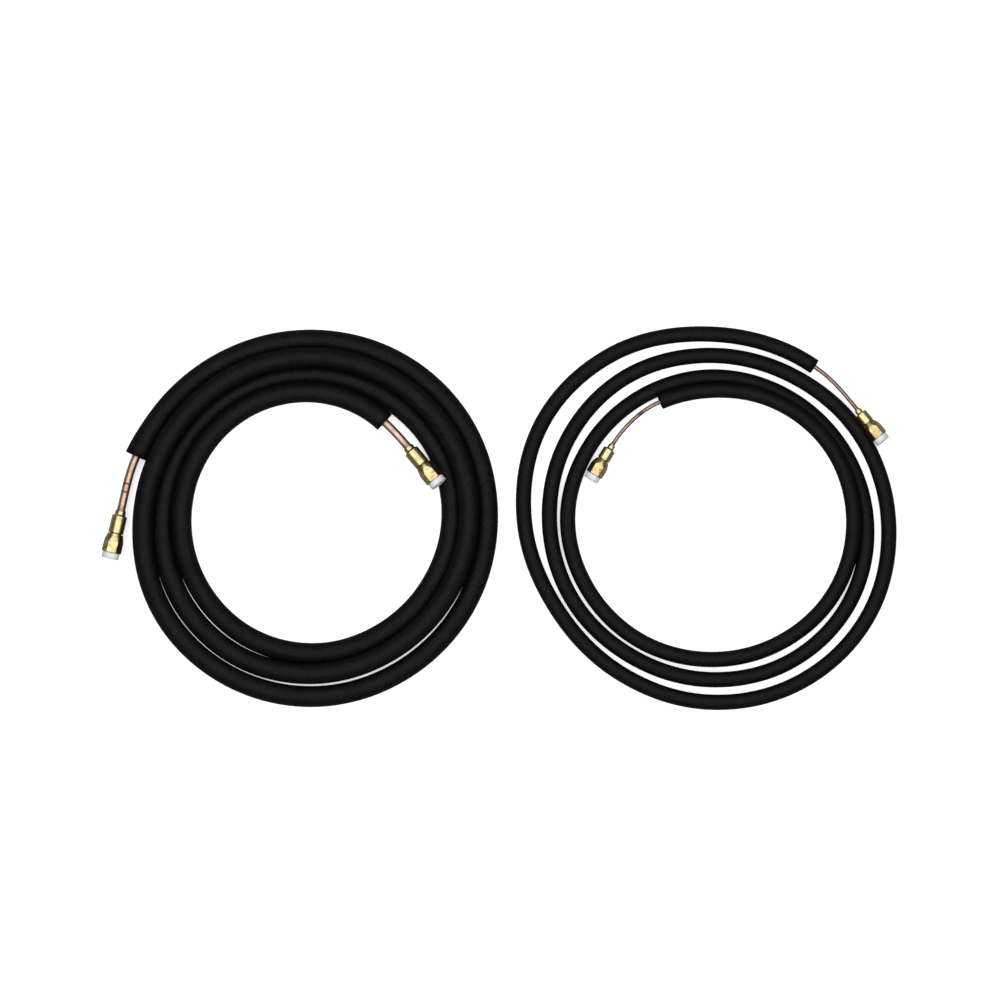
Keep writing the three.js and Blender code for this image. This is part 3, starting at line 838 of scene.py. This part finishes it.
def brass_skin(finishes, name, dull_and_reflection_share, dents):
    """Polished turned brass: fine rings from the lathe, duller patches, and brown patches of
    painted reflection that stand for dark reflections, both up to the given share. It also has
    bright rubbed edges and shallow dents of the given depth that break its reflections up."""
    brass = Finish(name, metallic=1.0)
    clouds = brass.effect("Mottle", scale=150.0, contrast=0.25)
    parts = brass.parts(brass.surface())
    around = brass.pair(parts[1], parts[0])
    rings = brass.effect("Drawn Lines", vector=around, along=9.0, across=2600.0)
    worn = brass.effect("Edge Wear", edge=brass.attribute("edge"), amount=0.8)
    hollows = brass.effect("Mottle", scale=210.0, contrast=0.3)
    painted_reflection_patches = brass.effect("Mottle", scale=115.0, contrast=0.12)
    tone = brass.blend(brass.spread(clouds, 0.0, dull_and_reflection_share), finishes.brass, finishes.brass_dull)
    # Painted reflection: brown patches of dark reflection, painted into the brass's colour where
    # both noises are high
    painted_dark_reflection = brass.times(brass.spread(painted_reflection_patches, 0.0, dull_and_reflection_share, (0.6, 1.0)), hollows)
    tone = brass.blend(painted_dark_reflection, tone, finishes.brass_painted_reflection)
    tone = brass.blend(worn, tone, finishes.brass_rubbed)
    roughness = brass.plus(brass.spread(clouds, 0.22, 0.34), brass.times(rings, 0.05))
    return brass.complete(tone, roughness, brass.plus(brass.times(rings, 0.05), hollows), dents)


def braze_skin(finishes):
    """Brazing alloy: a silvery yellow bead, uneven where it froze."""
    braze = Finish("brazing alloy", metallic=1.0)
    lumps = braze.effect("Mottle", scale=420.0, contrast=0.25)
    tone = braze.blend(lumps, finishes.braze, finishes.brass_dull)
    return braze.complete(tone, braze.spread(lumps, 0.25, 0.45), lumps, 0.0002)


def plastic_skin(finishes):
    """Satin white moulded plastic, with a faint moulded grain, rubbed edges and some dust."""
    plastic = Finish("white plastic", specular=0.45)
    clouds = plastic.effect("Mottle", scale=120.0, contrast=0.25)
    grain = plastic.effect("Mottle", scale=2600.0, contrast=0.3)
    worn = plastic.effect("Edge Wear", edge=plastic.attribute("edge"), amount=0.35)
    dust = plastic.effect("Settled Dust", scale=900.0, amount=0.05)
    shaded = [0.93 * part for part in finishes.plastic]
    tone = plastic.blend(plastic.spread(clouds, 0.0, 0.5), finishes.plastic, shaded)
    tone = plastic.blend(plastic.math("MAXIMUM", worn, dust), tone, finishes.plastic_grime)
    plastic.shader.inputs["Subsurface Weight"].default_value = 0.1
    plastic.shader.inputs["Subsurface Radius"].default_value = (0.002, 0.002, 0.002)
    return plastic.complete(tone, plastic.spread(clouds, 0.36, 0.46), grain, 0.00003)


def floor_skin(finishes):
    """Plain pale studio floor, very slightly uneven in tone. To the camera it glows a little, as
    a light table does, and the metal mirrors it darker."""
    floor = Finish("studio floor", specular=0.1)
    clouds = floor.effect("Mottle", scale=1.4, contrast=0.3)
    shaded = [0.985 * part for part in finishes.floor]
    mirrored = [0.33 * part for part in finishes.floor]
    tone = floor.blend(clouds, finishes.floor, shaded)
    seen = floor.add("ShaderNodeLightPath").outputs["Is Camera Ray"]
    floor.feed(floor.shader.inputs["Emission Color"], floor.blend(seen, (0, 0, 0), tone))
    floor.shader.inputs["Emission Strength"].default_value = 0.62
    tone = floor.blend(seen, mirrored, tone)
    return floor.complete(tone, floor.spread(clouds, 0.85, 0.95), clouds, 0.00001)


def shared_material(name, make, *values):
    """The material of that name, made at its first use."""
    return bpy.data.materials.get(name) or make(*values)


# Operators


def each_line(context):
    """Each line in turn, with its own sizes, the sizes that all fittings share, and the places
    along its fittings."""
    shared = context.scene.lineset_fittings
    for line in LINES:
        sizes = getattr(context.scene, f"lineset_{line}")
        yield line, sizes, shared, fitting_places(sizes, shared)


class LINESET_OT_sleeves(Operator):
    """Makes the two foam sleeves over the coiled tubes."""

    bl_idname = "lineset.sleeves"
    bl_label = "Foam Sleeves"

    def execute(self, context):
        finishes = context.scene.lineset_finishes
        skin = shared_material("foam skin", foam_skin, finishes)
        cut = shared_material("foam cut", foam_cut, finishes)
        for line, sizes, *_ in each_line(context):
            points, flare = coil_route(line, sizes)
            radius = sizes.sleeve_diameter / 2 - sizes.sleeve_ease + flare
            sleeve = pipe_object(
                f"{line}_foam_sleeve", points, self.radii(points, radius, line),
                sizes.tube_diameter / 2 + CLEARANCE, [skin, cut], SLEEVE_SIDES,
                rest=SLEEVE_PRESS, values={"inner_side": self.inner_side(points, line)},
            )
            parts = [part["node"] for part in frame["record"]["subparts"]]
            nodes = [node for node in parts if node.startswith(f"{line}_sleeve_")]
            self.check_place(sleeve, nodes)
            finished(sleeve, "lines", nodes)
        return {"FINISHED"}

    @staticmethod
    def radii(points, radius, line):
        """Radius of the skin, less three slow sine waves along it and round it that make it up to
        a hundredth smaller."""
        along = distances(points)[:, None]
        turn = np.linspace(0, 2 * np.pi, SLEEVE_SIDES, endpoint=False)
        waves = sum(
            share * np.sin(2 * np.pi * along / wave + phase + own * SKIN_PHASE[line] + turns * turn)
            for wave, share, phase, own, turns in SKIN_WAVES
        )
        total = sum(share for _, share, *_ in SKIN_WAVES)
        return radius[:, None] * (1 - SKIN_DEPTH * (1 + waves / total))

    @staticmethod
    def inner_side(points, line):
        """How far each point of the skin faces the middle of the coil, from 0 to 1."""
        _, side, _ = section_axes(points)
        turn = np.linspace(0, 2 * np.pi, SLEEVE_SIDES, endpoint=False) - np.pi / 2
        inward = np.append(COILS[line]["centre"], 0) - points * (1, 1, 0)
        facing = np.sum(side * unit(inward), axis=1)[:, None] * np.cos(turn)
        return np.clip(facing, 0, 1) ** 2

    @staticmethod
    def check_place(sleeve, nodes):
        """Stops if the sleeve isn't where the model's solids are."""
        low = np.min([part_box(node)[0] for node in nodes], axis=0)
        high = np.max([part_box(node)[1] for node in nodes], axis=0)
        corners = np.array(sleeve.bound_box)
        off = max(np.abs(corners.min(0) - low).max(), np.abs(corners.max(0) - high).max())
        if off > SLEEVE_REACH:
            raise RuntimeError(f"{sleeve.name} is {off * 1000:.1f} mm off the model's solids")


class LINESET_OT_tubes(Operator):
    """Makes the two copper tubes, from one coupling to the other."""

    bl_idname = "lineset.tubes"
    bl_label = "Copper Tubes"

    def execute(self, context):
        for line, sizes, shared, _ in each_line(context):
            coil, _ = coil_route(line, sizes)
            travel, _, _ = section_axes(coil)
            socket = shared.socket_depth - CLEARANCE
            stubs = {}
            for end, cut, leaving in (
                ("outer", coil[0], -travel[0]),
                ("inner", coil[-1], travel[-1]),
            ):
                start, axis, _, _ = fitting_axes(line, end, sizes, shared)
                stubs[end] = stub_route(cut, leaving, start, axis, socket)
            points = np.vstack([stubs["outer"][::-1], coil, stubs["inner"]])
            along = distances(points)
            from_outer = along - socket
            from_inner = along[-1] - socket - along
            away = np.where(from_outer < from_inner, from_outer, -from_inner)
            material = copper_skin(context.scene.lineset_finishes, **COPPER_MARKS[line])
            radius = np.full(len(points), sizes.tube_diameter / 2)
            bore = sizes.tube_diameter / 2 - sizes.tube_wall
            away = np.repeat(away[:, None], TUBE_SIDES, axis=1)
            tube = pipe_object(
                f"{line}_copper_tube", points, radius, bore, [material, material], TUBE_SIDES,
                ring_rows=1, values={"from_collar": away},
            )
            finished(tube, "lines", [f"{line}_tube"])
        return {"FINISHED"}


class LINESET_OT_couplings(Operator):
    """Makes the four turned brass couplings, each with its bead of brazing alloy."""

    bl_idname = "lineset.couplings"
    bl_label = "Couplings"

    def execute(self, context):
        finishes = context.scene.lineset_finishes
        brass = shared_material("turned brass", brass_skin, finishes, "turned brass", 0.45, 0.00008)
        braze = shared_material("brazing alloy", braze_skin, finishes)
        for line, sizes, shared, at in each_line(context):
            tube = sizes.tube_diameter / 2
            collar, body = sizes.collar_diameter / 2, sizes.body_diameter / 2
            neck = sizes.neck_diameter / 2
            bore, chamfer = tube - sizes.tube_wall, shared.chamfer
            socket = tube + CLEARANCE
            corners = [
                (socket, 0.0002),
                (collar - 0.0007, 0),
                (collar, 0.0007),
                (collar, at["body_start"] - 0.0012),
                (collar + 0.0012, at["body_start"]),
                (body - chamfer, at["body_start"]),
                (body, at["body_start"] + chamfer),
                (body, at["body_end"] - chamfer),
                (body - chamfer, at["body_end"]),
                (neck, at["body_end"]),
                (neck, at["flange_start"]),
                (neck + shared.flange_step, at["flange_start"]),
                (neck + shared.flange_step, at["flange_end"]),
                (neck - shared.flange_step, at["nose_end"]),
                (bore, at["nose_end"]),
                (bore, shared.socket_depth),
                (socket, shared.socket_depth),
            ]
            profile, edge = rounded(corners, 0.0004)
            bead, _ = rounded(
                [
                    (tube + 0.00005, -0.0016),
                    (tube + 0.0007, -0.0013),
                    (collar - 0.0011, -0.00005),
                    (tube + 0.00005, -0.00005),
                ],
                0.0006,
            )
            for end in ENDS:
                axes = fitting_axes(line, end, sizes, shared)
                node = f"{line}_{end}_coupling"
                coupling = turned_object(
                    f"{node}_body", axes, profile, edge, [brass], TURNED_SIDES
                )
                finished(coupling, "lines", [node])
                ring = turned_object(
                    f"{node}_braze", axes, bead, np.zeros(len(bead)), [braze], TURNED_SIDES
                )
                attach(ring, "lines")
        return {"FINISHED"}


class LINESET_OT_nuts(Operator):
    """Makes the four swivel nuts: a hexagon with a long cone at its back and a thread inside."""

    bl_idname = "lineset.nuts"
    bl_label = "Swivel Nuts"

    def execute(self, context):
        finishes = context.scene.lineset_finishes
        brass = shared_material("forged brass", brass_skin, finishes, "forged brass", 0.9, 0.00024)
        for line, sizes, shared, at in each_line(context):
            flat = sizes.nut_flats / 2
            corner = flat / np.cos(np.pi / 6)
            neck = sizes.neck_diameter / 2
            back = sizes.body_diameter / 2 + CLEARANCE
            lip = at["nut_start"] + shared.lip_thickness
            bore = neck + shared.flange_step + CLEARANCE
            corners = [
                (neck + CLEARANCE, at["nut_start"]),
                (back, at["nut_start"]),
                (corner, at["nut_start"] + sizes.nut_cone_length),
                (corner, at["nut_end"] - shared.chamfer),
                (flat - shared.chamfer / 2, at["nut_end"]),
                (bore + 0.0008, at["nut_end"]),
                (bore, at["nut_end"] - 0.0008),
                (bore, lip),
                (neck + CLEARANCE, lip),
            ]
            radii = [0.0003, 0.0005, 0.0030, 0.0012, 0.0006, 0.0003, 0.0003, 0.0003, 0.0003]
            profile, edge = rounded(corners, radii)
            profile, edge = densified(profile, edge, 0.00035)

            def shape(radius, along, turn):
                """The smaller of the turned radius and the hexagon, with a softened crease
                between them; inside, a triangular thread on a helix, cut into the bore."""
                past = np.mod(turn + np.pi / 6, np.pi / 3) - np.pi / 6
                hexagon = flat / np.cos(past)
                hexagon = softly_below(hexagon, corner - 0.0003, 0.0008)
                outside = softly_below(radius, hexagon, 0.0008)
                turns = along / shared.thread_pitch - turn / (2 * np.pi)
                wave = 1 - np.abs(2 * np.mod(turns, 1) - 1)
                fade = np.clip((at["nut_end"] - 0.001 - along) / 0.001, 0, 1)
                fade = fade * np.clip((along - at["nose_end"]) / 0.001, 0, 1)
                inside = radius + shared.thread_depth * wave * fade
                return np.where(np.abs(radius - bore) < 0.0001, inside, outside)

            for end in ENDS:
                axes = fitting_axes(line, end, sizes, shared)
                name = f"{line}_{end}_nut"
                nut = turned_object(
                    f"{name}_body", axes, profile, edge, [brass], NUT_SIDES, shape
                )
                finished(nut, name, [name])
        return {"FINISHED"}


class LINESET_OT_caps(Operator):
    """Makes the four white plastic caps, each with a ribbed plug that goes into the nut."""

    bl_idname = "lineset.caps"
    bl_label = "Plastic Caps"

    def execute(self, context):
        finishes = context.scene.lineset_finishes
        plastic = shared_material("white plastic", plastic_skin, finishes)
        for line, sizes, shared, at in each_line(context):
            head = sizes.cap_diameter / 2
            plug = sizes.neck_diameter / 2 + shared.flange_step - 0.0002
            start = at["head_start"] - shared.plug_length
            low, high = at["head_start"], at["head_end"]
            corners = [
                (plug - 0.0009, start),
                (plug - 0.0001, start + 0.0009),
                (plug - 0.0003, start + 0.0025),
                (plug, start + 0.0032),
                (plug - 0.0003, start + 0.0039),
                (plug - 0.0003, start + 0.0055),
                (plug, start + 0.0062),
                (plug - 0.0003, start + 0.0069),
                (plug - 0.0003, low),
                (head - 0.0004, low),
                (head - 0.0004, high - 0.0026),
                (head - 0.0009, high - 0.0023),
                (head - 0.0009, high - 0.0019),
                (head, high - 0.0016),
                (head, high - 0.0006),
                (head - 0.0006, high),
                (head - 0.0028, high),
                (head - 0.0034, high - 0.0008),
                (0.0022, high - 0.0008),
                (0.0019, high - 0.0004),
            ]
            poles = (start, high - 0.0004)
            profile, edge = rounded(corners, 0.0005, poles=poles)
            for end in ENDS:
                axes = fitting_axes(line, end, sizes, shared)
                name = f"{line}_{end}_cap"
                cap = turned_object(
                    f"{name}_body", axes, profile, edge, [plastic], TURNED_SIDES, poles=poles
                )
                finished(cap, name, [name])
        return {"FINISHED"}


class LINESET_OT_stage(Operator):
    """Makes the floor, the lights, the surroundings and the camera, which looks straight down."""

    bl_idname = "lineset.stage"
    bl_label = "Stage"

    def execute(self, context):
        scene = context.scene
        stage = scene.lineset_stage
        self.add_floor(scene)
        self.add_light(scene, "left_light", (-1.3, 0.3, 3.0), (2.4, 5.0), stage.left_power)
        self.add_light(scene, "right_light", (1.25, 0.3, 3.0), (2.1, 5.0), stage.right_power)
        world = bpy.data.worlds.new("studio")
        world.use_nodes = True
        background = world.node_tree.nodes["Background"]
        background.inputs["Color"].default_value = (1, 1, 1, 1)
        background.inputs["Strength"].default_value = stage.sky_strength
        scene.world = world
        scene.view_settings.view_transform = "Standard"
        scene.view_settings.look = "None"
        self.add_camera(scene, stage)
        return {"FINISHED"}

    @staticmethod
    def add_floor(scene):
        """A flat square on z = 0 that reaches far past the view."""
        mesh = bpy.data.meshes.new("floor")
        half, level = 4.0, -0.0002
        corners = [(-half, -half), (half, -half), (half, half), (-half, half)]
        mesh.from_pydata([(x, y, level) for x, y in corners], [], [(0, 1, 2, 3)])
        mesh.materials.append(shared_material("studio floor", floor_skin, scene.lineset_finishes))
        floor = bpy.data.objects.new("floor", mesh)
        scene.collection.objects.link(floor)
        floor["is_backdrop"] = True

    @staticmethod
    def add_light(scene, name, place, size, power):
        """A rectangular soft light at a place overhead, facing down."""
        data = bpy.data.lights.new(name, "AREA")
        data.shape = "RECTANGLE"
        data.size, data.size_y = size
        data.energy = power
        light = bpy.data.objects.new(name, data)
        light.location = place
        scene.collection.objects.link(light)

    @staticmethod
    def add_camera(scene, stage):
        """A long lens straight above the middle of the view, that takes in the view's width."""
        data = bpy.data.cameras.new("camera")
        data.lens = data.sensor_width * stage.camera_height / stage.view_width
        data.clip_end = 100
        camera = bpy.data.objects.new("camera", data)
        camera.location = (stage.view_x, stage.view_y, stage.camera_height + 0.02)
        scene.collection.objects.link(camera)
        scene.camera = camera


class LINESET_PT_panel(Panel):
    """Lists the pieces of the line set and their sizes and colours."""

    bl_idname = "LINESET_PT_panel"
    bl_label = "Line Set"
    bl_space_type = "VIEW_3D"
    bl_region_type = "UI"
    bl_category = "Line Set"

    def draw(self, context):
        for operator in OPERATORS:
            self.layout.operator(operator.bl_idname)
        for label, group in GROUPS.items():
            box = self.layout.box()
            box.label(text=label.title())
            for key in group.__annotations__:
                box.prop(getattr(context.scene, f"lineset_{label}"), key)


OPERATORS = (
    LINESET_OT_stage,
    LINESET_OT_sleeves,
    LINESET_OT_tubes,
    LINESET_OT_couplings,
    LINESET_OT_nuts,
    LINESET_OT_caps,
)
GROUPS = {
    "suction": LINESET_PG_suction,
    "liquid": LINESET_PG_liquid,
    "fittings": LINESET_PG_fittings,
    "finishes": LINESET_PG_finishes,
    "stage": LINESET_PG_stage,
}


def register():
    """Registers the classes and gives the scene its property groups."""
    for group in GROUPS.values():
        bpy.utils.register_class(group)
    for operator in OPERATORS:
        bpy.utils.register_class(operator)
    bpy.utils.register_class(LINESET_PT_panel)
    for label, group in GROUPS.items():
        setattr(bpy.types.Scene, f"lineset_{label}", PointerProperty(type=group))


def unregister():
    """Takes the scene's property groups away and unregisters the classes."""
    for label in GROUPS:
        delattr(bpy.types.Scene, f"lineset_{label}")
    bpy.utils.unregister_class(LINESET_PT_panel)
    for operator in reversed(OPERATORS):
        bpy.utils.unregister_class(operator)
    for group in reversed(GROUPS.values()):
        bpy.utils.unregister_class(group)


def main():
    """Makes every piece and works out how large the model and the dressed part are."""
    register()
    bpy.ops.lineset.stage()
    bpy.ops.lineset.sleeves()
    bpy.ops.lineset.tubes()
    bpy.ops.lineset.couplings()
    bpy.ops.lineset.nuts()
    bpy.ops.lineset.caps()
    boxes = {"cad": CAD_BOX, "visual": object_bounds()}
    {key: [list(corner) for corner in box] for key, box in boxes.items()}


if __name__ == "__main__":
    main()
